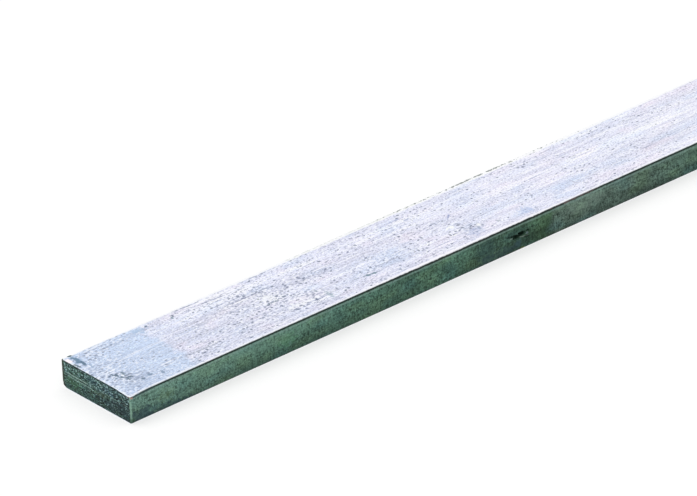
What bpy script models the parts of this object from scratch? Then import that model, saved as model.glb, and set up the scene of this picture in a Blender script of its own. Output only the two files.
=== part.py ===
"""Flat bus bar of drawn, tin-plated copper, sold as a length of raw stock. Metres, +Z up.

The bar lies flat along X on its wide face. The origin is the middle of that face.
"""

import bmesh
import bpy

# Driving dimensions
BAR_LENGTH = 1.000
BAR_WIDTH = 0.010
BAR_THICKNESS = 0.003
DRAWN_EDGE_RADIUS = 0.00025  # left by the drawing die on the four long edges
CUT_EDGE_RADIUS = 0.00016  # left by deburring, all the way round each saw-cut end

EDGE_SEGMENTS = 6  # facets round each edge

# Tin plate as the wide faces show it: pale and faintly lavender, dulled by drawing lines
TIN_COLOUR = (0.72, 0.74, 0.86, 1.0)
TIN_ROUGHNESS = 0.4


def clear_scene():
    """Removes what a new Blender file holds, such as its cube, light and camera."""
    for leftover in list(bpy.data.objects):
        bpy.data.objects.remove(leftover, do_unlink=True)


def tin_plate():
    """The bar's finish, a satin metal."""
    finish = bpy.data.materials.new("tin_plate")
    finish.use_nodes = True
    shader = finish.node_tree.nodes["Principled BSDF"]
    shader.inputs["Base Color"].default_value = TIN_COLOUR
    shader.inputs["Metallic"].default_value = 1.0
    shader.inputs["Roughness"].default_value = TIN_ROUGHNESS
    return finish


def edge_radius(edge):
    """The drawn radius on an edge that runs the bar's length, the deburred one round an end."""
    start, stop = (corner.co for corner in edge.verts)
    runs_along_bar = start.x != stop.x
    return DRAWN_EDGE_RADIUS if runs_along_bar else CUT_EDGE_RADIUS


def square_blank(widest_radius):
    """A blank of the bar's full size. Each edge's bevel weight is its radius over the widest one."""
    blank = bmesh.new()
    bmesh.ops.create_cube(blank, size=1.0)
    bmesh.ops.scale(blank, vec=(BAR_LENGTH, BAR_WIDTH, BAR_THICKNESS), verts=blank.verts)
    bmesh.ops.translate(blank, vec=(0.0, 0.0, BAR_THICKNESS / 2), verts=blank.verts)

    weight = blank.edges.layers.float.new("bevel_weight_edge")
    for edge in blank.edges:
        edge[weight] = edge_radius(edge) / widest_radius

    mesh = bpy.data.meshes.new("bus_bar")
    blank.to_mesh(mesh)
    blank.free()
    return mesh


def draw_and_cut():
    """The finished bar: the blank with every edge rolled to its own radius."""
    widest_radius = max(DRAWN_EDGE_RADIUS, CUT_EDGE_RADIUS)
    mesh = square_blank(widest_radius)
    mesh.shade_smooth()
    bus_bar = bpy.data.objects.new("bus_bar", mesh)

    rounding = bus_bar.modifiers.new("edge_radii", "BEVEL")
    rounding.limit_method = "WEIGHT"
    rounding.offset_type = "OFFSET"
    rounding.width = widest_radius
    rounding.segments = EDGE_SEGMENTS
    rounding.profile = 0.5
    rounding.use_clamp_overlap = True
    rounding.harden_normals = True
    return bus_bar


def main():
    clear_scene()
    stock = bpy.data.collections.new("tinned_bus_bar")
    bpy.context.scene.collection.children.link(stock)

    bus_bar = draw_and_cut()
    bus_bar.data.materials.append(tin_plate())
    stock.objects.link(bus_bar)


main()
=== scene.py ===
"""Looks of a length of tin-plated copper bus bar, lying flat on a pale studio floor. Metres, +Z up.

The bar is modelled again in full round its CAD solid, with the lines that drawing left along it,
its sawn ends, and the dents, gouge and dirt that the photograph shows near one end. The dark
green-grey of its sides and ends is painted reflection and painted shade, and its rims carry
painted highlights.

Places on the bar are in millimetres: along it from that near end, across it from the middle of
its width (the front side is negative), and up from the face that it lies on.
"""

import math

import bmesh
import bpy
from mathutils import Matrix, Vector


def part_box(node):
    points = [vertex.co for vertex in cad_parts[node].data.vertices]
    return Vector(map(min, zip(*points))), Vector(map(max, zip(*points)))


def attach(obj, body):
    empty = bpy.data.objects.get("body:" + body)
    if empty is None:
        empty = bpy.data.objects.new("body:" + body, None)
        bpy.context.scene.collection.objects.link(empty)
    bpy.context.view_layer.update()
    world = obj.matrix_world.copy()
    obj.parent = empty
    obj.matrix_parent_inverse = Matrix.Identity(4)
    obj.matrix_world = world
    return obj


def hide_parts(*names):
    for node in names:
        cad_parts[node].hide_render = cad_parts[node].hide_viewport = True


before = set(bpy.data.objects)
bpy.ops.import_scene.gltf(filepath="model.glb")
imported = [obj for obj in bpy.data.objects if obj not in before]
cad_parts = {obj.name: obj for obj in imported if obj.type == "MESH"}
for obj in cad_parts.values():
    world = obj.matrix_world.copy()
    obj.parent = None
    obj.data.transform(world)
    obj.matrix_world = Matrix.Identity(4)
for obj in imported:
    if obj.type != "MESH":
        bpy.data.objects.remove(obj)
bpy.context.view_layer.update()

MM = 0.001

# The bar's own sizes, from its CAD solid
LOW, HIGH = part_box("bus_bar")
NEAR_END = LOW.x
LENGTH = (HIGH.x - LOW.x) / MM
WIDTH = (HIGH.y - LOW.y) / MM
THICKNESS = (HIGH.z - LOW.z) / MM
FRONT, BACK = -WIDTH / 2, WIDTH / 2

# Its rounded edges: their radii, and the facets that each is modelled with
DRAWN_EDGE_RADIUS = 0.25
DRAWN_EDGE_FACETS = 6
CUT_EDGE_RADIUS = 0.16
CUT_EDGE_FACETS = 3

# Strips that the faces are cut into, fine enough to hold the drawing lines and saw marks
STRIP = 0.125
CUT_THRESHOLD = 1e-7  # metres

# The length that the photograph shows, and the five equal lengths that the rest is folded into
# on the bar's flattened pattern, where it bakes at about 5 pixels a millimetre
SHOWN_LENGTH = 72.0
FOLDS = 5
FOLD_LENGTH = (LENGTH - SHOWN_LENGTH) / FOLDS

# Cuts across the bar: how far each spacing goes and how many cuts it has. They lie close at both
# ends, where the saw marks are, and round the gouge.
END_STRETCH = 6.0
CROSS_CUTS = (
    (END_STRETCH, 29),
    (26.0, 32),
    (44.5, 32),
    (49.0, 17),
    (SHOWN_LENGTH, 38),
    *((SHOWN_LENGTH + fold * FOLD_LENGTH, 30) for fold in range(1, FOLDS)),
    (LENGTH - END_STRETCH, 28),
    (LENGTH, 29),
)

# A length that is too small to matter, and how deep under a face a vertex still counts as on it
HAIR = 1e-5
SKIN = 0.1
# How much of a direction lies along an axis when it counts as pointing that way
SQUARE_ON = 0.9
# The same for a face of an end, which takes in most of the end's rounded edge
END_FACING = 0.7


def spot(along, across, up):
    """A place on the bar, in metres."""
    return Vector((NEAR_END + along * MM, across * MM, LOW.z + up * MM))


def on_bar(point):
    """Where a point is on the bar: along, across and up, in millimetres."""
    return (point.x - NEAR_END) / MM, point.y / MM, (point.z - LOW.z) / MM


# Modelling the bar


def choose(kind, rule):
    """Selects only the faces, edges or verts of the edited bar that the rule accepts."""
    bpy.ops.mesh.select_mode(type={"faces": "FACE", "edges": "EDGE", "verts": "VERT"}[kind])
    bpy.ops.mesh.select_all(action="DESELECT")
    mesh = bmesh.from_edit_mesh(bpy.context.object.data)
    for part in getattr(mesh, kind):
        if rule(part):
            part.select_set(True)
    mesh.select_flush_mode()
    bmesh.update_edit_mesh(bpy.context.object.data)


def runs_along(edge):
    run = edge.verts[1].co - edge.verts[0].co
    return abs(run.x) > SQUARE_ON * run.length


def cut_through(place, normal):
    """Cuts the whole edited bar at a plane. The threshold is far under a strip's width."""
    bpy.ops.mesh.select_all(action="SELECT")
    bpy.ops.mesh.bisect(plane_co=place, plane_no=normal, threshold=CUT_THRESHOLD)


def drawn_blank():
    """The bar's full-size blank, its long edges and its ends rounded, left open for editing."""
    bpy.ops.object.select_all(action="DESELECT")
    bpy.ops.mesh.primitive_cube_add(size=1.0, location=(LOW + HIGH) / 2, scale=HIGH - LOW)
    bar = bpy.context.object
    bar.name = bar.data.name = "tinned_bar"
    bpy.ops.object.transform_apply(location=True, rotation=True, scale=True)
    bpy.ops.object.mode_set(mode="EDIT")
    rounding = {"offset_type": "OFFSET", "profile": 0.5, "affect": "EDGES", "clamp_overlap": False}
    choose("edges", runs_along)
    bpy.ops.mesh.bevel(offset=DRAWN_EDGE_RADIUS * MM, segments=DRAWN_EDGE_FACETS, **rounding)
    choose("edges", lambda edge: not runs_along(edge))
    bpy.ops.mesh.bevel(offset=CUT_EDGE_RADIUS * MM, segments=CUT_EDGE_FACETS, **rounding)
    return bar


def cut_strips():
    """Cuts the wide faces, the sides and the ends into fine strips, then the bar across its length."""
    across = round((WIDTH / 2 - DRAWN_EDGE_RADIUS) / STRIP)
    for step in range(-across, across + 1):
        cut_through(spot(0, step * STRIP, 0), (0, 1, 0))
    up = round((THICKNESS - 2 * DRAWN_EDGE_RADIUS) / STRIP)
    for step in range(up + 1):
        cut_through(spot(0, 0, DRAWN_EDGE_RADIUS + step * STRIP), (0, 0, 1))
    for stop, _cuts in CROSS_CUTS[:-1]:
        cut_through(spot(stop, 0, 0), (1, 0, 0))

    start = 0.0
    for stop, cuts in CROSS_CUTS:

        def in_this_stretch(edge, start=start, stop=stop):
            middle = on_bar((edge.verts[0].co + edge.verts[1].co) / 2)[0]
            past_the_rounding = edge.calc_length() > 2 * CUT_EDGE_RADIUS * MM
            return runs_along(edge) and past_the_rounding and start < middle < stop

        choose("edges", in_this_stretch)
        bpy.ops.mesh.subdivide(number_cuts=cuts)
        start = stop


def girth(across, up):
    """How far round the bar's section a point is from the middle of its underside, in
    millimetres: along the underside to the front, up the front side, and back over the top."""
    flat_across, flat_up = WIDTH / 2 - DRAWN_EDGE_RADIUS, THICKNESS - 2 * DRAWN_EDGE_RADIUS
    corner = DRAWN_EDGE_RADIUS * math.pi / 2
    half = 2 * flat_across + flat_up + 2 * corner
    if across > HAIR:
        return 2 * half - girth(-across, up)
    beside = max(-across - flat_across, 0.0)
    if up < DRAWN_EDGE_RADIUS:
        turn = math.atan2(beside, DRAWN_EDGE_RADIUS - up) if beside > HAIR else 0.0
        return min(-across, flat_across) + DRAWN_EDGE_RADIUS * turn
    if up <= DRAWN_EDGE_RADIUS + flat_up + HAIR:
        return flat_across + corner + up - DRAWN_EDGE_RADIUS
    turn = math.atan2(up - DRAWN_EDGE_RADIUS - flat_up, beside) if beside > HAIR else math.pi / 2
    to_upper_edge = flat_across + corner + flat_up
    return to_upper_edge + DRAWN_EDGE_RADIUS * turn + flat_across - min(-across, flat_across)


# The flattened pattern of the bar's skin, on a square of this many pixels, with the pixels that
# a millimetre gets on the shown length, on the rest and on the near end, and the gaps in pixels
PATTERN = 1024
SHOWN_SCALE = 12.0
FOLD_SCALE = 5.34
NEAR_END_SCALE = 24.0
MARGIN = 6.0
FOLD_GAP = 3.0


def flatten_skin(bar):
    """Lays the bar's skin out flat: the shown length large, the rest folded beside it."""
    skin = bar.data.uv_layers.new(name="OFBake")
    around = 2 * girth(0.0, THICKNESS)
    shown_width = MARGIN + around * SHOWN_SCALE
    for face in bar.data.polygons:
        middle_along, middle_across, middle_up = on_bar(face.center)
        middle = girth(middle_across, middle_up)
        on_an_end = abs(face.normal.x) > END_FACING
        for loop in face.loop_indices:
            along, across, up = on_bar(bar.data.vertices[bar.data.loops[loop].vertex_index].co)
            if on_an_end and middle_along < LENGTH / 2:
                x = MARGIN + (across + WIDTH / 2) * NEAR_END_SCALE
                y = SHOWN_LENGTH * SHOWN_SCALE + 3 * MARGIN + up * NEAR_END_SCALE
            elif on_an_end:
                x = MARGIN + (across + WIDTH / 2) * SHOWN_SCALE
                y = PATTERN - MARGIN - up * SHOWN_SCALE
            else:
                round_bar = girth(across, up)
                if abs(round_bar - middle) > around / 2:
                    round_bar += math.copysign(around, middle - round_bar)
                fold = int((middle_along - SHOWN_LENGTH) // FOLD_LENGTH)
                if middle_along < SHOWN_LENGTH:
                    x = MARGIN + round_bar * SHOWN_SCALE
                    y = MARGIN + along * SHOWN_SCALE
                else:
                    x = shown_width + MARGIN + round_bar * FOLD_SCALE
                    x += fold * (around * FOLD_SCALE + FOLD_GAP)
                    y = MARGIN + (along - SHOWN_LENGTH - fold * FOLD_LENGTH) * FOLD_SCALE
            skin.data[loop].uv = (x / PATTERN, y / PATTERN)


def within(vert, centre, half_size, degrees, side):
    """Whether a vertex lies in a turned ellipse on the top or the front side of the bar."""
    along, across, up = on_bar(vert.co)
    sunk = THICKNESS - up if side == "top" else across - FRONT
    if sunk > SKIN:
        return False
    turn = math.radians(degrees)
    a, b = along - centre[0], (across if side == "top" else up) - centre[1]
    a, b = a * math.cos(turn) + b * math.sin(turn), b * math.cos(turn) - a * math.sin(turn)
    return (a / half_size[0]) ** 2 + (b / half_size[1]) ** 2 < 1


def press(rule, push, reach):
    """Pushes part of the bar by so many millimetres, drawing the metal round it along."""
    choose("verts", rule)
    bpy.ops.transform.translate(
        value=Vector(push) * MM,
        use_proportional_edit=True,
        proportional_edit_falloff="SMOOTH",
        proportional_size=reach * MM,
        use_proportional_connected=True,
    )


# Damage that the photograph shows. The gouge is several stabs of a tool's corner: the place of
# each along and up the front side, half its length and height, its tilt in degrees, and how deep
# it went. The metal round each follows over its reach.
STAB_REACH = 0.09
GOUGE = (
    ((45.60, 1.75), (0.30, 0.06), -8, 0.10),
    ((46.20, 1.67), (0.36, 0.08), -12, 0.15),
    ((46.42, 1.49), (0.40, 0.09), -2, 0.22),
    ((47.08, 1.73), (0.42, 0.08), -10, 0.22),
    ((47.82, 1.73), (0.20, 0.05), -12, 0.12),
    ((47.70, 1.12), (0.30, 0.04), -12, 0.10),
)
# The stretch of the front side round it, along and up, that gets a finer mesh
GOUGED_ALONG = (44.9, 48.6)
GOUGED_UP = (0.9, 2.3)
GOUGED_CUTS = 3
# The dent on the top, close to the back corner: place, half size, turn in degrees, depth, reach
DENT = ((0.95, 3.2), (0.22, 1.6), -12, 0.05, 0.5)
# The two knocked corners of the near end: across and up, the push, and its reach
KNOCKED_CORNERS = (
    (BACK, 0.0, (0.04, -0.05, 0.12), 0.5),
    (FRONT, THICKNESS, (0.0, 0.0, -0.13), 2.4),
)
CORNER_SIZE = 0.22


def in_gouged_stretch(face):
    along, _across, up = on_bar(face.calc_center_median())
    beside = GOUGED_ALONG[0] < along < GOUGED_ALONG[1] and GOUGED_UP[0] < up < GOUGED_UP[1]
    return beside and face.normal.y < -SQUARE_ON


def damage():
    """The gouge in the front side, the dent and the two knocked corners."""
    bpy.ops.object.mode_set(mode="EDIT")
    choose("faces", in_gouged_stretch)
    bpy.ops.mesh.subdivide(number_cuts=GOUGED_CUTS)
    for centre, half_size, tilt, depth in GOUGE:
        stab = (centre, half_size, tilt, "front")
        press(lambda vert: within(vert, *stab), (0, depth, 0), STAB_REACH)
    *dent, depth, reach = DENT
    press(lambda vert: within(vert, *dent, "top"), (0, 0, -depth), reach)
    for across, up, push, reach in KNOCKED_CORNERS:
        corner = spot(0, across, up)
        press(lambda vert: (vert.co - corner).length < CORNER_SIZE * MM, push, reach)
    bpy.ops.object.mode_set(mode="OBJECT")


def weigh(bar, name, weight):
    """A vertex group with a weight for each vertex, by its place on the bar and its normal."""
    group = bar.vertex_groups.new(name=name)
    for vert in bar.data.vertices:
        share = weight(*on_bar(vert.co), vert.normal)
        if share > 0:
            group.add([vert.index], min(share, 1.0), "REPLACE")


def relieve(bar, name, grain_size, depth):
    """Wears a grain of this size and depth, in millimetres, into the vertices of one group. With
    its mid level at 1 it only goes inwards."""
    bpy.ops.object.empty_add(location=spot(0, 0, 0))
    ruler = bpy.context.object
    ruler.scale = Vector(grain_size) * MM
    clouds = bpy.data.textures.new(name, type="CLOUDS")
    clouds.noise_scale = 1.0
    clouds.noise_depth = 1
    wear = bar.modifiers.new(name, "DISPLACE")
    wear.texture = clouds
    wear.texture_coords = "OBJECT"
    wear.texture_coords_object = ruler
    wear.vertex_group = name
    wear.mid_level = 1.0
    wear.strength = depth * MM
    bpy.context.view_layer.objects.active = bar
    bpy.context.view_layer.update()
    bpy.ops.object.modifier_apply(modifier=name)
    bpy.data.objects.remove(ruler)
    bpy.data.textures.remove(clouds)


# On the near end the blade came in twice: the lower cut is set back behind this line
LEDGE_HEIGHT = 1.66
LEDGE_SLOPE = 0.015
LEDGE_DEPTH = 0.035
# How near to an end of the bar a place counts as on it
END_RIM = 0.15


def end_distance(along):
    return min(along, LENGTH - along)


def drawn(along, normal, coming_in):
    """How worn by the die a place is: not at all on the ends, and more over this length."""
    return (1 - abs(normal.x)) * (end_distance(along) - END_RIM) / coming_in


def sawn(along, normal):
    """Whether a place is on either sawn face."""
    return end_distance(along) < END_RIM and abs(normal.x) > SQUARE_ON


def torn(along, _across, up, normal):
    """How torn a place on the near end is: fully from a third of a millimetre over the ledge."""
    return (up - LEDGE_HEIGHT) * 3 * (along < END_RIM and normal.x < -SQUARE_ON)


def below_ledge(along, across, up, normal):
    """Whether a place is on the lower cut of the near end."""
    return along < END_RIM and normal.x < -SQUARE_ON and up < LEDGE_HEIGHT + LEDGE_SLOPE * across


def wear_surfaces(bar):
    """Drawing lines along the bar, its slight waviness, and the saw's marks on its ends."""
    weigh(bar, "drawing_lines", lambda along, across, up, normal: drawn(along, normal, 0.5))
    relieve(bar, "drawing_lines", (14.0, 0.3, 0.3), 0.012)
    weigh(bar, "waviness", lambda along, across, up, normal: drawn(along, normal, 3.0))
    relieve(bar, "waviness", (28.0, 4.0, 4.0), 0.02)
    weigh(bar, "saw_marks", lambda along, across, up, normal: float(sawn(along, normal)))
    relieve(bar, "saw_marks", (1.0, 4.0, 0.22), 0.04)
    weigh(bar, "torn_upper_half", torn)
    relieve(bar, "torn_upper_half", (0.5, 0.4, 0.2), 0.06)
    bpy.ops.object.mode_set(mode="EDIT")
    choose("verts", lambda vert: below_ledge(*on_bar(vert.co), vert.normal))
    bpy.ops.transform.translate(value=(LEDGE_DEPTH * MM, 0, 0))
    bpy.ops.object.mode_set(mode="OBJECT")
    bar.vertex_groups.clear()


# Materials


def linear(colour):
    """An sRGB hex colour as the linear values that a shader takes."""
    parts = [int(colour[i : i + 2], 16) / 255 for i in (1, 3, 5)]
    return [c / 12.92 if c <= 0.04045 else ((c + 0.055) / 1.055) ** 2.4 for c in parts] + [1.0]


def add(tree, kind, inputs=None, stops=(), **settings):
    """Adds a node with its settings and colour stops. An input takes a value, a hex colour, a
    node, whose first output is linked, or one of a node's other outputs."""
    new = tree.nodes.new("ShaderNode" + kind)
    for name, value in settings.items():
        setattr(new, name, value)
    for number, (place, colour) in enumerate(stops):
        stop = new.color_ramp.elements[number] if number < 2 else new.color_ramp.elements.new(place)
        stop.position = place
        stop.color = linear(colour)
    for socket, value in (inputs or {}).items():
        if isinstance(value, bpy.types.Node):
            value = value.outputs[0]
        if isinstance(value, bpy.types.NodeSocket):
            tree.links.new(value, new.inputs[socket])
        else:
            new.inputs[socket].default_value = linear(value) if isinstance(value, str) else value
    return new


def new_finish(bar, name):
    """A new material on the bar: its empty node tree, and the place on the bar in millimetres."""
    finish = bpy.data.materials.new(name)
    finish.use_nodes = True
    tree = finish.node_tree
    tree.nodes.clear()
    bar.data.materials.append(finish)
    at = add(tree, "TexCoord").outputs["Object"]
    origin = (-NEAR_END / MM, 0.0, -LOW.z / MM)
    return tree, add(tree, "Mapping", {"Vector": at, "Location": origin, "Scale": [1 / MM] * 3})


# The levels that the darkest and the lightest parts of a grain reach
GRAIN_SPAN = (0.35, 0.65)


def grain(tree, place, size, detail=2.0, shift=0.0):
    """A cloudy grain of this size in millimetres along, across and up. It stays near 0.5."""
    scale = [1 / part for part in size]
    at = add(tree, "Mapping", {"Vector": place, "Location": [shift] * 3, "Scale": scale})
    return add(tree, "TexNoise", {"Vector": at, "Scale": 1.0, "Detail": detail})


def dots(tree, place, spacing, shift=0.0):
    """How far off the nearest of many scattered dots is: 0 at its middle and near 1 between dots.
    The spacing is in millimetres along, across and up, and the dots take its proportions."""
    scale = [1 / part for part in spacing]
    at = add(tree, "Mapping", {"Vector": place, "Location": [shift] * 3, "Scale": scale})
    return add(tree, "TexVoronoi", {"Vector": at, "Scale": 1.0})


def blend(tree, *shares):
    """Several patterns added up, each with its share."""
    total = 0.0
    for share, pattern in shares:
        total = add(tree, "Math", {0: pattern, 1: share, 2: total}, operation="MULTIPLY_ADD")
    return total


def coat(tree, under, colour, pattern, bare, full, share=1.0):
    """Lays a colour over what is under it: none of it where the pattern has the bare level, and
    its whole share where the pattern has the full level."""
    levels = {"Value": pattern, "From Min": bare, "From Max": full, "To Max": share}
    cover = add(tree, "MapRange", levels, interpolation_type="SMOOTHSTEP")
    return add(tree, "MixRGB", {"Fac": cover, "Color1": under, "Color2": colour})


def shade(tree, under, pattern, start, stop, low, high):
    """Multiplies what is under it by low where the pattern is at start, by high where at stop."""
    levels = {"Value": pattern, "From Min": start, "From Max": stop, "To Min": low, "To Max": high}
    strength = add(tree, "MapRange", levels, clamp=False)
    inputs = {"Fac": 1.0, "Color1": under, "Color2": strength}
    return add(tree, "MixRGB", inputs, blend_type="MULTIPLY", use_clamp=True)


# How far off a place is measured, in half sizes of the ellipse
FARTHEST = 4.0
# The grain that roughens a mark's rim, in millimetres
RIM_GRAIN = (0.35, 0.3, 0.3)
# A half size that takes in the whole bar
ALL_LONG = 2000.0


def away_from(tree, place, centre, half_size, degrees=0.0, axis="Z"):
    """How far off a place is: 0 at the centre and 1 on an ellipse round it, turned about an axis.
    A ball's gradient gives it, because a render runs out of room for as many vector lengths."""
    turn = [math.radians(degrees) if name == axis else 0.0 for name in "XYZ"]
    ball = [half * FARTHEST for half in half_size]
    inputs = {"Vector": place, "Location": centre, "Rotation": turn, "Scale": ball}
    inside = add(tree, "Mapping", inputs, vector_type="TEXTURE")
    near = add(tree, "TexGradient", {"Vector": inside}, gradient_type="SPHERICAL").outputs["Fac"]
    return add(tree, "Math", {0: near, 1: -FARTHEST, 2: FARTHEST}, operation="MULTIPLY_ADD")


def mark(tree, under, place, colour, centre, half_size, share=1.0, degrees=0.0, axis="Z", ragged=0.0):
    """Lays a colour over one mark: an ellipse with a soft rim that may be ragged. The grain that
    moves the rim has a mean of 0.5, so the rim's levels move by half as much."""
    away = away_from(tree, place, centre, half_size, degrees, axis)
    if ragged:
        rim = grain(tree, place, RIM_GRAIN, shift=centre[0])
        away = blend(tree, (1.0, away), (4 * ragged, rim))
    return coat(tree, under, colour, away, 1.0 + 2 * ragged, 0.5 + 2 * ragged, share)


def end_finish(tree, body, relief, roughest, smoothest, depth):
    """Ends a metal's nodes: its colour, its gloss, which the same relief varies, and its bump."""
    low, high = GRAIN_SPAN
    levels = {"Value": relief, "From Min": low, "From Max": high, "To Min": roughest, "To Max": smoothest}
    gloss = add(tree, "MapRange", levels)
    bump = add(tree, "Bump", {"Distance": depth * MM, "Height": relief})
    inputs = {"Base Color": body, "Metallic": 1.0, "Roughness": gloss, "Normal": bump}
    add(tree, "OutputMaterial", {"Surface": add(tree, "BsdfPrincipled", inputs)})


# Single marks on the top: each one's colour, its middle along and across the bar,
# half its size, how far it covers, its turn in degrees, and how ragged its rim is
TOP_MARKS = (
    # The first four are painted shade in the dent near the back corner
    ("#8fabcb", (0.85, 3.7), (0.5, 1.3), 0.75, -6.0, 0.7),
    ("#5f7f98", (0.78, 3.7), (0.36, 0.95), 0.8, -8.0, 0.6),
    ("#557189", (0.95, 2.8), (0.2, 0.5), 0.85, -20.0, 0.6),
    ("#8ea8c6", (1.12, 1.9), (0.13, 0.6), 0.7, -10.0, 0.8),
    ("#45606a", (0.8, 4.72), (0.4, 0.28), 0.95, 0.0, 0.5),
    ("#a9b8d3", (2.8, -3.0), (2.4, 1.5), 0.4, 0.0, 1.2),
    ("#62778b", (1.4, -0.9), (0.36, 0.3), 0.9, 0.0, 1.1),
    ("#62778b", (1.7, -1.7), (0.8, 0.36), 0.9, -66.0, 1.2),
    ("#62778b", (2.3, -2.15), (0.5, 0.28), 0.9, 0.0, 1.1),
    ("#6f8396", (2.24, -1.2), (0.24, 0.46), 0.85, 0.0, 0.9),
    ("#f2f7ff", (1.9, -0.15), (0.5, 0.12), 0.9, 0.0, 0.7),
    ("#f2f7ff", (1.5, -0.45), (0.3, 0.1), 0.9, 0.0, 0.7),
    ("#f2f7ff", (2.02, -1.5), (0.17, 0.22), 0.9, 0.0, 0.3),
    ("#6c8096", (2.95, -3.35), (0.26, 0.26), 0.9, 0.0, 0.4),
    ("#8499b3", (3.9, -3.1), (0.4, 0.3), 0.85, 0.0, 0.6),
    ("#8499b3", (5.05, -3.6), (0.2, 0.5), 0.85, 0.0, 0.6),
    ("#a9c3e0", (8.4, 3.9), (0.8, 0.7), 0.6, 0.0, 0.8),
    ("#6d8298", (9.4, 4.1), (0.2, 0.18), 0.9, 0.0, 0.4),
    ("#6f8b9b", (12.1, 3.65), (0.16, 0.26), 0.9, 0.0, 0.5),
    ("#8b91a9", (14.6, 4.4), (1.9, 0.09), 0.75, -2.0, 0.7),
    ("#fbfbff", (15.6, 4.12), (2.6, 0.13), 0.85, -3.0, 0.4),
    ("#8b91a9", (16.6, 3.72), (2.2, 0.08), 0.75, -3.0, 0.7),
    ("#fbfbff", (17.2, 3.44), (1.8, 0.11), 0.8, -3.0, 0.4),
    ("#8b91a9", (18.2, 1.85), (2.4, 0.09), 0.8, 0.0, 0.8),
    ("#fbfbff", (18.6, 1.62), (2.0, 0.1), 0.8, 0.0, 0.5),
    ("#aab0bf", (10.2, -2.9), (2.0, 0.12), 0.8, 0.0, 0.7),
    ("#5c6f84", (19.95, -0.7), (0.22, 0.16), 0.9, 0.0, 0.4),
    ("#6f8095", (20.75, -0.65), (0.4, 0.14), 0.9, 0.0, 0.8),
    ("#f9fbfd", (20.9, 0.2), (0.8, 0.5), 0.6, 0.0, 2.4),
    ("#8e9b98", (20.0, 0.8), (0.14, 0.16), 0.8, 0.0, 0.3),
    ("#f9fbfd", (22.0, -2.5), (1.0, 0.4), 0.6, 0.0, 2.0),
    ("#8690a8", (21.3, -3.2), (0.6, 0.14), 0.85, -28.0, 0.7),
    ("#8690a8", (22.2, -3.2), (0.14, 0.26), 0.85, 0.0, 0.5),
    ("#8a98a6", (24.75, -1.85), (0.16, 0.26), 0.85, 0.0, 0.4),
    ("#8a93a8", (24.0, -1.25), (0.12, 0.26), 0.85, 0.0, 0.4),
    ("#93aab6", (25.25, -3.1), (0.35, 0.6), 0.6, -8.0, 1.1),
    ("#7f86a0", (25.2, 1.35), (0.18, 0.3), 0.9, 0.0, 0.5),
    ("#858ba5", (28.0, 0.75), (0.5, 0.13), 0.85, 42.0, 0.7),
    ("#8f94b3", (31.7, 1.9), (0.3, 0.14), 0.8, 40.0, 0.5),
    ("#8088aa", (30.8, -2.15), (0.16, 0.16), 0.9, 0.0, 0.3),
    ("#6f8b98", (30.2, -2.85), (1.1, 0.13), 0.95, -10.0, 0.9),
    ("#aeb3c8", (33.6, -2.15), (2.8, 0.12), 0.8, -2.0, 0.5),
    ("#fbfbff", (34.6, 2.6), (2.4, 0.14), 0.8, 0.0, 0.4),
    ("#8d93a6", (36.9, -1.05), (0.2, 0.16), 0.9, 0.0, 0.4),
    ("#8d93a6", (38.1, 1.5), (0.16, 0.2), 0.9, 0.0, 0.4),
    ("#8d93a6", (38.35, -0.85), (0.14, 0.24), 0.8, 0.0, 0.4),
    ("#b0b9d6", (38.4, 3.45), (1.1, 0.14), 0.8, 0.0, 0.6),
    ("#b4bbd8", (39.6, 2.8), (0.5, 0.16), 0.8, 0.0, 0.6),
    ("#c3c6da", (42.0, -2.95), (2.2, 0.09), 0.8, 0.0, 0.7),
    ("#a0a6b8", (41.0, 0.2), (0.13, 0.3), 0.8, 0.0, 0.4),
    ("#fafcfa", (41.7, -1.25), (0.5, 0.3), 0.9, 0.0, 1.2),
    ("#858b9e", (42.4, -1.4), (0.3, 0.16), 0.9, -20.0, 0.7),
    ("#888fa4", (42.35, -2.05), (0.24, 0.13), 0.9, 0.0, 0.6),
    ("#7f8798", (40.6, -2.4), (0.14, 0.3), 0.9, 0.0, 0.5),
    ("#fafcfa", (41.0, -2.7), (0.6, 0.1), 0.9, 0.0, 0.9),
    ("#9fabbd", (43.4, -3.2), (0.14, 0.5), 0.8, 0.0, 0.6),
    ("#fafcfa", (43.8, -2.7), (0.3, 0.3), 0.8, 0.0, 1.0),
    ("#a3b2d8", (42.6, -3.5), (1.1, 0.8), 0.4, 0.0, 0.9),
    ("#8f9cc4", (42.8, 0.5), (0.5, 0.12), 0.85, 45.0, 0.6),
    ("#b6bcc8", (45.7, -3.4), (0.35, 0.24), 0.8, 0.0, 0.7),
    ("#b3c3e6", (48.9, -3.6), (0.8, 0.7), 0.6, 0.0, 0.9),
    ("#fafaff", (54.6, 2.05), (3.2, 0.12), 0.8, 0.0, 0.4),
    ("#bfc2d4", (55.6, -2.6), (0.12, 0.6), 0.8, 12.0, 0.5),
)


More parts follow.
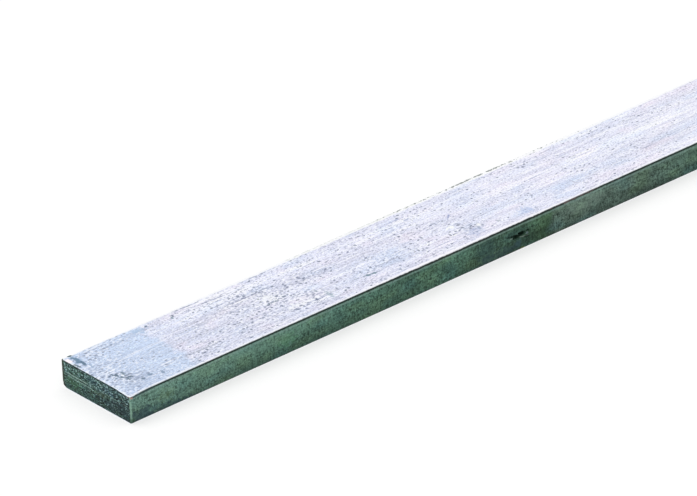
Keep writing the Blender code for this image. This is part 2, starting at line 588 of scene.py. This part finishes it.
def drawn_tin_plate(bar):
    """Tin plate on the wide faces, drawn through a die: a pale satin metal, cold and faintly
    lavender, streaked lengthwise, with slate-blue flecks where dirt sits in its pits."""
    tree, place = new_finish(bar, "drawn_tin_plate")
    along, across, _up = add(tree, "SeparateXYZ", {0: place}).outputs

    # The colour pales slowly along the bar, with faint blue and pink clouds. The first 9 mm,
    # where it was handled, are bluer
    wander = grain(tree, place, (0.8, 0.9, 3.0))
    shown = blend(tree, (1 / SHOWN_LENGTH, along), (0.04, wander))
    paling = (
        (0.13, "#d6daee"),
        (0.25, "#dde0f2"),
        (0.42, "#e0e2f5"),
        (0.6, "#e3e5f7"),
        (0.8, "#e5e7f9"),
        (1.0, "#e6e8f9"),
    )
    body = add(tree, "ValToRGB", {"Fac": shown}, stops=paling)
    later = grain(tree, place, (45.0, 9.0, 9.0))
    uneven = ((0.3, "#d3daf1"), (0.5, "#e0e3f5"), (0.7, "#e7e8f8"))
    hues = add(tree, "ValToRGB", {"Fac": later}, stops=uneven)
    body = coat(tree, body, hues, along, 60.0, SHOWN_LENGTH)
    clouds = grain(tree, place, (12.0, 3.0, 3.0), shift=7.0)
    tints = grain(tree, place, (4.0, 1.6, 1.6), shift=17.0)
    for pattern in (clouds, tints):
        body = coat(tree, body, "#cad8f1", pattern, 0.52, 0.75, 0.5)
        body = coat(tree, body, "#eee4f2", pattern, 0.48, 0.25, 0.5)
    handled = blend(tree, (1.0, along), (2.5, wander))
    not_handled, well_handled = 10.25, 9.15
    body = coat(tree, body, "#c5d6f0", handled, not_handled, well_handled, 0.85)

    # Drawing lines, broad to fine, and the plate's own grain. The finest two, 0.14 and 0.15 mm,
    # are coarser than real so that they show. The lines' light and dark streaks are their tone and
    # also painted glints of their relief
    broad = grain(tree, place, (35.0, 0.9, 0.9), detail=1.0, shift=3.0)
    middling = grain(tree, place, (6.0, 0.28, 0.28), detail=1.0, shift=5.0)
    fine = grain(tree, place, (2.2, 0.14, 0.14), detail=1.0, shift=11.0)
    plate = grain(tree, place, (0.19, 0.15, 0.15), detail=1.0, shift=29.0)
    lines = blend(tree, (0.4, broad), (0.33, middling), (0.27, fine))
    body = shade(tree, body, lines, *GRAIN_SPAN, 0.81, 1.2)
    body = shade(tree, body, plate, *GRAIN_SPAN, 0.84, 1.17)

    # Two places on the top are scored deeper, bright and dark by turns as painted glints and painted shade
    scratches = grain(tree, place, (4.0, 0.17, 0.17), detail=1.0, shift=37.0)
    scored = away_from(tree, place, (17.0, 2.8, THICKNESS), (6.0, 2.4, 1.0), -3.0)
    also = away_from(tree, place, (23.4, -2.9, THICKNESS), (2.8, 1.4, 1.0), -3.0)
    scored = add(tree, "Math", {0: scored, 1: also}, operation="MINIMUM")
    scored = add(tree, "Math", {0: scored, 1: 1.0}, operation="MINIMUM")
    bright = blend(tree, (1.0, scratches), (-0.16, scored))
    dark = blend(tree, (1.0, scratches), (0.16, scored))
    body = coat(tree, body, "#f8f9ff", bright, 0.47, 0.57, 0.9)
    body = coat(tree, body, "#a5aec8", dark, 0.48, 0.37, 0.85)

    # Fine mottling, which turns to dark specks and bright burrs, then round pits, each of them
    # there by chance, and short dashes, all drawn coarser than real so that they show. They crowd
    # in some places, and are rarer where the bar was handled and further along it
    crowd = grain(tree, place, (3.0, 2.2, 2.2), shift=13.0)
    onward = add(tree, "Math", {0: along, 1: SHOWN_LENGTH}, operation="MINIMUM")
    where = blend(tree, (-0.4, crowd), (0.0022, onward))
    for centre, half_size, crowding in (
        ((2.3, -2.4), (2.2, 2.0), 0.13),
        ((7.6, 0.8), (6.6, 5.0), -0.15),
        ((21.8, -0.8), (5.6, 4.2), 0.14),
        ((41.6, -1.3), (2.6, 2.2), 0.14),
    ):
        away = away_from(tree, place, (*centre, THICKNESS), (*half_size, 1.0))
        away = add(tree, "Math", {0: away, 1: 1.0}, operation="MINIMUM")
        where = blend(tree, (crowding, away), (1.0, where))
    mottle = grain(tree, place, (0.3, 0.18, 0.18), detail=1.0, shift=53.0)
    burrs = blend(tree, (1.0, mottle), (-0.5, where))
    specks = blend(tree, (1.0, mottle), (0.5, where))
    spots = dots(tree, place, (0.44, 0.3, 0.3))
    chance = add(tree, "SeparateXYZ", {0: spots.outputs["Color"]})
    pits = blend(tree, (1.0, spots), (0.9, chance), (1.0, where), (0.4, plate))
    dashes = blend(tree, (1.0, dots(tree, place, (1.3, 0.3, 0.3), 7.0)), (1.0, where), (0.5, plate))
    body = coat(tree, body, "#f7f9ff", burrs, 0.49, 0.63, 0.75)
    body = coat(tree, body, "#989fb4", specks, 0.47, 0.35, 0.75)
    body = coat(tree, body, "#99a1b8", dashes, 0.53, 0.37, 0.8)
    body = coat(tree, body, "#717b92", pits, 0.79, 0.62, 0.85)
    body = coat(tree, body, "#c6d4ec", handled, not_handled, well_handled, 0.2)

    # Its rims, painted white as painted highlights on their roundings: the back one widens along the
    # shown length, where pale and dark dots lie on it, and fades out further on. Under the front
    # highlight runs a painted shade line
    widening = add(tree, "Math", {0: along, 1: 32.0}, operation="MINIMUM")
    fading = add(tree, "MapRange", {"Value": along, "From Min": 64.0, "From Max": 100.0, "To Max": 0.5})
    rim = blend(tree, (1.0, across), (0.008, widening), (0.35, wander), (-1.0, fading))
    body = coat(tree, body, "#fafbfc", rim, 4.7, 4.95, 0.95)
    front_rim = ((0.0, FRONT, 0.0), (ALL_LONG, 0.36, ALL_LONG))
    painted_shade_corner = ((0.0, FRONT, 2.9), (ALL_LONG, 0.16, 0.16))
    painted_highlight_corner = ((40.0, FRONT, THICKNESS), (17.0, 0.5, 0.14))
    pale_dots = ((36.0, 4.66, THICKNESS), (8.0, 0.09, 1.0))
    dark_dots = ((50.5, 4.66, THICKNESS), (7.0, 0.09, 1.0))
    body = mark(tree, body, place, "#fbfbff", *front_rim, 0.65, ragged=0.2)
    body = mark(tree, body, place, "#75837c", *painted_shade_corner, 0.8, ragged=0.1)
    body = mark(tree, body, place, "#fbf9ff", *painted_highlight_corner, 0.7, ragged=0.3)
    body = mark(tree, body, place, "#c3cabf", *pale_dots, 0.4, ragged=1.6)
    body = mark(tree, body, place, "#6c7670", *dark_dots, 0.8, ragged=1.6)

    for colour, centre, half_size, share, degrees, ragged in TOP_MARKS:
        middle, reach = (*centre, THICKNESS), (*half_size, 1.0)
        body = mark(tree, body, place, colour, middle, reach, share, degrees, "Z", ragged)

    # The lip over the near end is painted pale as a painted highlight on its rounding, with a white nick in
    # that highlight and a dark one
    lip = blend(tree, (-1.0, along), (0.6, grain(tree, place, (9.0, 0.9, 9.0), shift=31.0)))
    body = coat(tree, body, "#eef5fa", lip, 0.1, 0.24, 0.7)
    body = mark(tree, body, place, "#fff6fa", (0.2, 4.05, THICKNESS), (0.24, 0.6, 1.0), ragged=0.3)
    body = mark(tree, body, place, "#5a6e7a", (0.2, 2.7, THICKNESS), (0.16, 0.7, 1.0), 0.8, 4.0, ragged=0.4)
    relief = blend(tree, (0.6, lines), (0.4, plate))
    end_finish(tree, body, relief, 0.44, 0.32, 0.03)


# Single marks on the front side, as on the top, with their middles along and up the bar
SIDE_MARKS = (
    # The first two darken the foot near the end, as painted shade
    ("#33464e", (1.2, 0.6), (1.5, 0.9), 0.7, 0.0, 0.5),
    ("#2c4148", (4.5, 0.0), (4.4, 0.75), 0.7, 0.0, 0.5),
    ("#568a62", (18.6, 1.5), (1.3, 0.8), 0.28, 0.0, 0.8),
    ("#6f8a62", (4.2, 1.6), (1.2, 0.7), 0.22, 0.0, 0.8),
    # A painted highlight under the upper rim
    ("#7fa596", (14.0, 2.2), (14.0, 0.7), 0.2, 0.0, 0.6),
    # A painted shade along the foot
    ("#2c443a", (17.0, 0.1), (12.0, 0.9), 0.32, 0.0, 0.5),
    ("#7f9388", (55.0, 2.0), (3.4, 1.0), 0.3, 0.0, 0.5),
    ("#2f4848", (42.7, 1.4), (1.4, 1.5), 0.45, 0.0, 0.6),
    ("#33484c", (44.2, 0.5), (2.6, 0.7), 0.6, 0.0, 0.6),
    ("#3a5458", (46.6, 0.8), (0.5, 0.6), 0.65, 0.0, 0.4),
    ("#4c6a40", (49.8, 1.5), (0.9, 0.6), 0.1, 0.0, 0.8),
    ("#5f6a2e", (47.0, 0.1), (0.4, 0.22), 0.85, 0.0, 0.5),
    # The darkest is painted shade deep in the gouge
    ("#16261f", (46.7, 1.63), (0.8, 0.2), 0.9, 2.0, 0.4),
    ("#7d8a83", (45.7, 1.56), (0.25, 0.06), 0.7, 0.0, 0.4),
    ("#858f89", (47.2, 1.33), (0.6, 0.05), 0.7, 8.0, 0.6),
    ("#66757a", (47.75, 1.5), (0.2, 0.16), 0.7, 0.0, 0.5),
)


def tin_side_painted_dark(bar):
    """Tin on the narrow sides, rubbed dull against the die and the rack: a satin metal, finely
    mottled, whose dark green-grey is painted reflection and painted shade, with a painted shade
    line under its upper rim."""
    tree, place = new_finish(bar, "tin_side_painted_dark")
    along, _across, up = add(tree, "SeparateXYZ", {0: place}).outputs

    wander = grain(tree, place, (2.5, 2.0, 1.2))
    shown = blend(tree, (1 / SHOWN_LENGTH, along), (0.05, wander))
    # The ramp's dark green-greys are painted reflection and painted shade
    darkening = (
        (0.0, "#66867b"),
        (0.14, "#628375"),
        (0.3, "#567768"),
        (0.42, "#4f7062"),
        (0.56, "#4f705f"),
        (0.62, "#456054"),
        (0.725, "#47644f"),
        (0.735, "#586c62"),
        (1.0, "#5a7067"),
    )
    body = add(tree, "ValToRGB", {"Fac": shown}, stops=darkening)
    later = grain(tree, place, (30.0, 9.0, 9.0))
    uneven = ((0.3, "#4a655a"), (0.5, "#557163"), (0.7, "#617d70"))
    hues = add(tree, "ValToRGB", {"Fac": later}, stops=uneven)
    body = coat(tree, body, hues, along, 60.0, SHOWN_LENGTH)

    # Lighter towards the rim than at the foot, as painted shade, with faint blue and brown-green patches
    body = shade(tree, body, up, 0.3, 2.5, 0.68, 1.07)
    patches = grain(tree, place, (2.2, 2.0, 0.9), detail=0.0, shift=7.0)
    body = coat(tree, body, "#467072", patches, 0.5, 0.8, 0.26)
    body = coat(tree, body, "#64805a", patches, 0.5, 0.2, 0.22)

    # Mottling: upright ticks, lengthwise rubs and fine speckle, drawn coarser than real so that
    # they show
    ticks = grain(tree, place, (0.14, 0.6, 0.6), detail=1.0, shift=3.0)
    rubs = grain(tree, place, (2.0, 0.14, 0.14), shift=5.0)
    speckle = grain(tree, place, (0.14, 0.12, 0.12), detail=1.0, shift=11.0)
    mottle = blend(tree, (0.28, ticks), (0.22, rubs), (0.5, speckle))
    body = shade(tree, body, mottle, *GRAIN_SPAN, 0.42, 1.53)

    # Smears come in along the bar, and dark pits lie all over
    smears = grain(tree, place, (1.8, 0.9, 0.9), detail=0.0, shift=43.0)
    smeared = shade(tree, body, smears, 0.3, 0.7, 0.78, 1.2)
    body = coat(tree, body, smeared, along, 22.0, 38.0)
    pits = blend(tree, (1.0, dots(tree, place, (0.5, 0.4, 0.4))), (-0.4, smears), (0.5, speckle))
    body = coat(tree, body, "#1b2e26", pits, 0.36, 0.24, 0.5)

    for colour, centre, half_size, share, degrees, ragged in SIDE_MARKS:
        middle, reach = (centre[0], FRONT, centre[1]), (half_size[0], 1.0, half_size[1])
        body = mark(tree, body, place, colour, middle, reach, share, degrees, "Y", ragged)
    # The gouge is darkened a little past its own size with painted shade and dirt, and its deeper stabs are
    # painted darker
    for centre, half_size, tilt, depth in GOUGE:
        middle, reach = (centre[0], FRONT, centre[1]), (half_size[0] + 0.12, 1.0, half_size[1] + 0.05)
        share = min(0.95, 6 * depth)
        body = mark(tree, body, place, "#11201a", middle, reach, share, -tilt, "Y", 0.25)

    # Painted light and shade of the rounded upper rim: a painted light line and a painted shade line run
    # under it, and shorter painted lines over them
    painted_light_line = ((0.0, 0.0, 2.64), (ALL_LONG, ALL_LONG, 0.12))
    painted_shade_line = ((0.0, 0.0, 2.87), (ALL_LONG, ALL_LONG, 0.13))
    body = mark(tree, body, place, "#86a09a", *painted_light_line, 0.42, ragged=0.4)
    body = mark(tree, body, place, "#2b3634", *painted_shade_line, 0.95, ragged=0.2)
    body = mark(tree, body, place, "#2f3936", (40.0, FRONT, 2.79), (16.0, 1.0, 0.12), 0.9, ragged=0.3)
    body = mark(tree, body, place, "#eeedf2", (40.0, FRONT, 2.97), (14.0, 1.0, 0.1), 0.8, ragged=0.3)
    body = mark(tree, body, place, "#7f6a6c", (54.0, FRONT, 2.9), (3.5, 1.0, 0.1), 0.5, ragged=1.0)
    body = mark(tree, body, place, "#3c4f50", (1.6, FRONT, 2.76), (2.2, 1.0, 0.1), 0.85, -3.0, "Y", 0.4)

    # The upright ridge at the near end is painted light, as a painted highlight on its rounding, and copper
    # shows at its top
    ridge = blend(tree, (-1.0, along), (0.5, grain(tree, place, (9.0, 9.0, 0.5), shift=31.0)))
    body = coat(tree, body, "#8fb3a0", ridge, 0.03, 0.2, 0.65)
    body = mark(tree, body, place, "#2f4a3d", (0.1, FRONT, 0.1), (0.5, 1.0, 0.7), 0.7, ragged=0.4)
    body = mark(tree, body, place, "#c09186", (0.2, FRONT, 2.7), (0.26, 1.0, 0.085), 0.7, ragged=0.4)
    end_finish(tree, body, mottle, 0.6, 0.44, 0.03)


# Single marks on the near end, as on the top, with their middles across and up the bar. The last
# three are the ledge and a second line under it, which catch the light.
END_MARKS = (
    ("#4b7853", (3.4, 1.0), (1.4, 0.5), 0.3, 0.0, 0.8),
    ("#56603f", (-0.5, 1.35), (0.9, 0.3), 0.25, 0.0, 0.8),
    ("#24363a", (-3.2, 0.9), (1.6, 0.8), 0.6, 0.0, 0.6),
    ("#3d5455", (1.2, 0.6), (0.8, 0.3), 0.4, 0.0, 0.6),
    ("#5c7d98", (-2.1, 2.1), (0.7, 0.4), 0.2, 0.0, 1.2),
    ("#35566a", (0.6, 2.4), (0.9, 0.4), 0.3, 0.0, 0.9),
    ("#93b0a6", (2.6, 1.78), (2.4, 0.08), 0.8, 0.5, 0.5),
    ("#8aa99e", (2.2, 1.47), (2.8, 0.07), 0.7, 1.0, 0.5),
    ("#7f9b90", (-2.5, 1.72), (2.2, 0.07), 0.5, 0.0, 0.6),
)


def sawn_end(bar):
    """A saw-cut end: torn and speckled above, combed level by the teeth below, its dark green-grey
    painted reflection and painted shade, with its front corner a painted highlight."""
    tree, place = new_finish(bar, "sawn_end")
    _along, across, up = add(tree, "SeparateXYZ", {0: place}).outputs

    # The photographed end is greener to the back and darker to the front, and darker towards the foot as
    # painted shade
    wander = grain(tree, place, (9.0, 1.5, 0.8), detail=1.0)
    backward = blend(tree, (1 / WIDTH, across), (1.0, wander))
    greening = ((0.0, "#3d5a5b"), (0.35, "#466561"), (0.7, "#4d7369"), (1.0, "#55796c"))
    body = add(tree, "ValToRGB", {"Fac": backward}, stops=greening)
    patches = grain(tree, place, (9.0, 1.2, 0.6), shift=7.0)
    body = coat(tree, body, "#4c6d7c", patches, 0.5, 0.75, 0.4)
    body = coat(tree, body, "#5f7d55", patches, 0.5, 0.25, 0.4)
    body = shade(tree, body, up, 0.2, 2.6, 0.55, 0.7)

    # Two cuts met at a low ledge: torn specks above it, level combing below. Both are drawn
    # coarser than real so that they show
    ledge = blend(tree, (1.0, up), (-LEDGE_SLOPE, across))
    torn = grain(tree, place, (9.0, 0.24, 0.15), shift=3.0)
    combed = grain(tree, place, (9.0, 1.4, 0.12), shift=5.0)
    speckle = grain(tree, place, (9.0, 0.17, 0.14), detail=1.0, shift=11.0)
    below = blend(tree, (0.5, combed), (0.5, speckle))
    above = blend(tree, (0.15, combed), (0.35, speckle), (0.5, torn))
    cut = coat(tree, below, above, ledge, LEDGE_HEIGHT - 0.2, LEDGE_HEIGHT + 0.2)
    body = shade(tree, body, cut, *GRAIN_SPAN, 0.04, 2.12)
    specks = blend(tree, (1.0, dots(tree, place, (0.8, 0.28, 0.14))), (-0.1, ledge), (0.6, speckle))
    body = coat(tree, body, "#a6c8c8", specks, 0.49, 0.37, 0.85)
    pits = blend(tree, (1.0, dots(tree, place, (0.8, 0.32, 0.17), 5.0)), (0.6, speckle))
    body = coat(tree, body, "#0a1418", pits, 0.8, 0.6, 0.9)

    for colour, centre, half_size, share, degrees, ragged in END_MARKS:
        middle, reach = (0.0, *centre), (2.0, *half_size)
        body = mark(tree, body, place, colour, middle, reach, share, degrees, "X", ragged)

    # Its borders: a painted shade line under the lip, bare copper at the front corner, a dark back ridge
    # and a front one painted light as a painted highlight, dark at its foot
    upper_border = ((0.0, 0.0, 2.86), (ALL_LONG, ALL_LONG, 0.17))
    back_ridge = ((0.0, BACK, 0.0), (ALL_LONG, 0.4, ALL_LONG))
    front_ridge = ((0.0, FRONT, 0.0), (ALL_LONG, 0.24, ALL_LONG))
    body = mark(tree, body, place, "#1f3033", *upper_border, 0.8, ragged=0.7)
    body = mark(tree, body, place, "#a0706a", (0.0, -4.72, 2.78), (1.0, 0.2, 0.1), 0.6, 0.0, "X", 0.4)
    body = mark(tree, body, place, "#33392f", *back_ridge, 0.9, ragged=0.1)
    body = mark(tree, body, place, "#8fb3a0", *front_ridge, 0.7, ragged=0.3)
    body = mark(tree, body, place, "#2f4a3d", (0.0, FRONT, 0.1), (1.0, 0.5, 0.7), 0.7, ragged=0.4)
    end_finish(tree, body, cut, 0.6, 0.42, 0.05)


FINISHES = (drawn_tin_plate, tin_side_painted_dark, sawn_end)


def give_finishes(bar):
    """Each face's finish, by the way it faces while the bar is still plain."""
    for finish in FINISHES:
        finish(bar)
    for face in bar.data.polygons:
        along, across, up = (abs(part) for part in face.normal)
        if along > max(across, up):
            face.material_index = FINISHES.index(sawn_end)
        elif across > up:
            face.material_index = FINISHES.index(tin_side_painted_dark)
        else:
            face.material_index = FINISHES.index(drawn_tin_plate)


# The studio, in metres and watts

FLOOR_SIZE = 12.0
PAPER_GLOW = 0.55  # lifts the paper to white for the eye, and lights nothing
TENT_LEVEL = 0.75  # the tent's light on the bar, while the eye sees it white
SOFT_BOX_PLACE = (-0.9, 0.5, 1.6)
SOFT_BOX_SIZE = 1.2
SOFT_BOX_WATTS = 6.0
# The place on the bar that the soft box and the camera point at, in millimetres
AIM = (31.0, 0.0, 1.5)


def for_eye_and_metal(tree):
    """1 for the camera's rays and for those that metal or glass sends on, 0 for the rest."""
    path = add(tree, "LightPath").outputs
    rays = blend(tree, *((1.0, path[f"Is {kind} Ray"]) for kind in ("Camera", "Glossy", "Transmission")))
    return add(tree, "Clamp", {"Value": rays})


def studio_floor():
    """White background paper, which looks white to the eye and keeps the bar's shadow."""
    bpy.ops.mesh.primitive_plane_add(size=FLOOR_SIZE, location=(0, 0, LOW.z))
    floor = bpy.context.object
    floor.name = "studio_floor"
    paper = bpy.data.materials.new("white_background_paper")
    paper.use_nodes = True
    tree = paper.node_tree
    tree.nodes.clear()
    sheet = add(tree, "BsdfDiffuse", {"Color": "#c4c4c4"})
    lift = blend(tree, (PAPER_GLOW, for_eye_and_metal(tree)))
    glow = add(tree, "Emission", {"Color": "#ffffff", "Strength": lift})
    add(tree, "OutputMaterial", {"Surface": add(tree, "AddShader", {0: sheet, 1: glow})})
    floor.data.materials.append(paper)


def studio_light():
    """A white tent all round, and a soft box high up past the near end."""
    world = bpy.data.worlds.new("soft_white_tent")
    bpy.context.scene.world = world
    world.use_nodes = True
    tree = world.node_tree
    tree.nodes.clear()
    rays = for_eye_and_metal(tree)
    level = add(tree, "MapRange", {"Value": rays, "To Min": TENT_LEVEL, "To Max": 1.0})
    white = add(tree, "Background", {"Color": "#ffffff", "Strength": level})
    add(tree, "OutputWorld", {"Surface": white})

    bpy.ops.object.light_add(type="AREA", location=SOFT_BOX_PLACE)
    lamp = bpy.context.object
    lamp.name = "soft_box"
    lamp.data.shape = "SQUARE"
    lamp.data.size = SOFT_BOX_SIZE
    lamp.data.energy = SOFT_BOX_WATTS
    to_the_bar = spot(AIM[0], 0.0, 0.0) - lamp.location
    lamp.rotation_euler = to_the_bar.to_track_quat("-Z", "Y").to_euler()


# The camera, solved from the photograph's edge lines, in degrees and millimetres. It aims at a
# place on the bar, and then this much to the right and up in its own view.
CAMERA_AZIMUTH = -38.744
CAMERA_ELEVATION = 28.538
CAMERA_ROLL = -2.972
CAMERA_DISTANCE = 1000.0
AIM_RIGHT, AIM_UP = -0.672, 2.549
LENS = 557.75
SENSOR_WIDTH = 36.0
FARTHEST_SEEN = 100.0  # metres


def camera():
    """The photograph's view, down over the near end from a metre away."""
    azimuth, elevation, roll = map(math.radians, (CAMERA_AZIMUTH, CAMERA_ELEVATION, CAMERA_ROLL))
    level = math.cos(elevation)
    back = Vector((math.sin(azimuth) * level, -math.cos(azimuth) * level, math.sin(elevation)))
    right = Vector((math.cos(azimuth), math.sin(azimuth), 0.0))
    up = back.cross(right)
    sine, cosine = math.sin(roll), math.cos(roll)
    right, up = cosine * right + sine * up, cosine * up - sine * right
    aim = spot(*AIM) + (AIM_RIGHT * right + AIM_UP * up) * MM
    bpy.ops.object.camera_add()
    eye = bpy.context.object
    eye.data.lens = LENS
    eye.data.sensor_width = SENSOR_WIDTH
    eye.data.clip_end = FARTHEST_SEEN
    turned = Matrix((right, up, back)).transposed().to_4x4()
    eye.matrix_world = Matrix.Translation(aim + back * CAMERA_DISTANCE * MM) @ turned
    bpy.context.scene.camera = eye


# Making it all

SMOOTH_UNDER = math.radians(40)

bar = drawn_blank()
cut_strips()
bpy.ops.object.mode_set(mode="OBJECT")
flatten_skin(bar)
give_finishes(bar)
damage()
wear_surfaces(bar)
bpy.ops.object.select_all(action="DESELECT")
bar.select_set(True)
bpy.context.view_layer.objects.active = bar
bpy.ops.object.shade_smooth_by_angle(angle=SMOOTH_UNDER)

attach(bar, "root")
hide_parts("bus_bar")

studio_floor()
studio_light()
camera()
bpy.context.scene.view_settings.view_transform = "Standard"
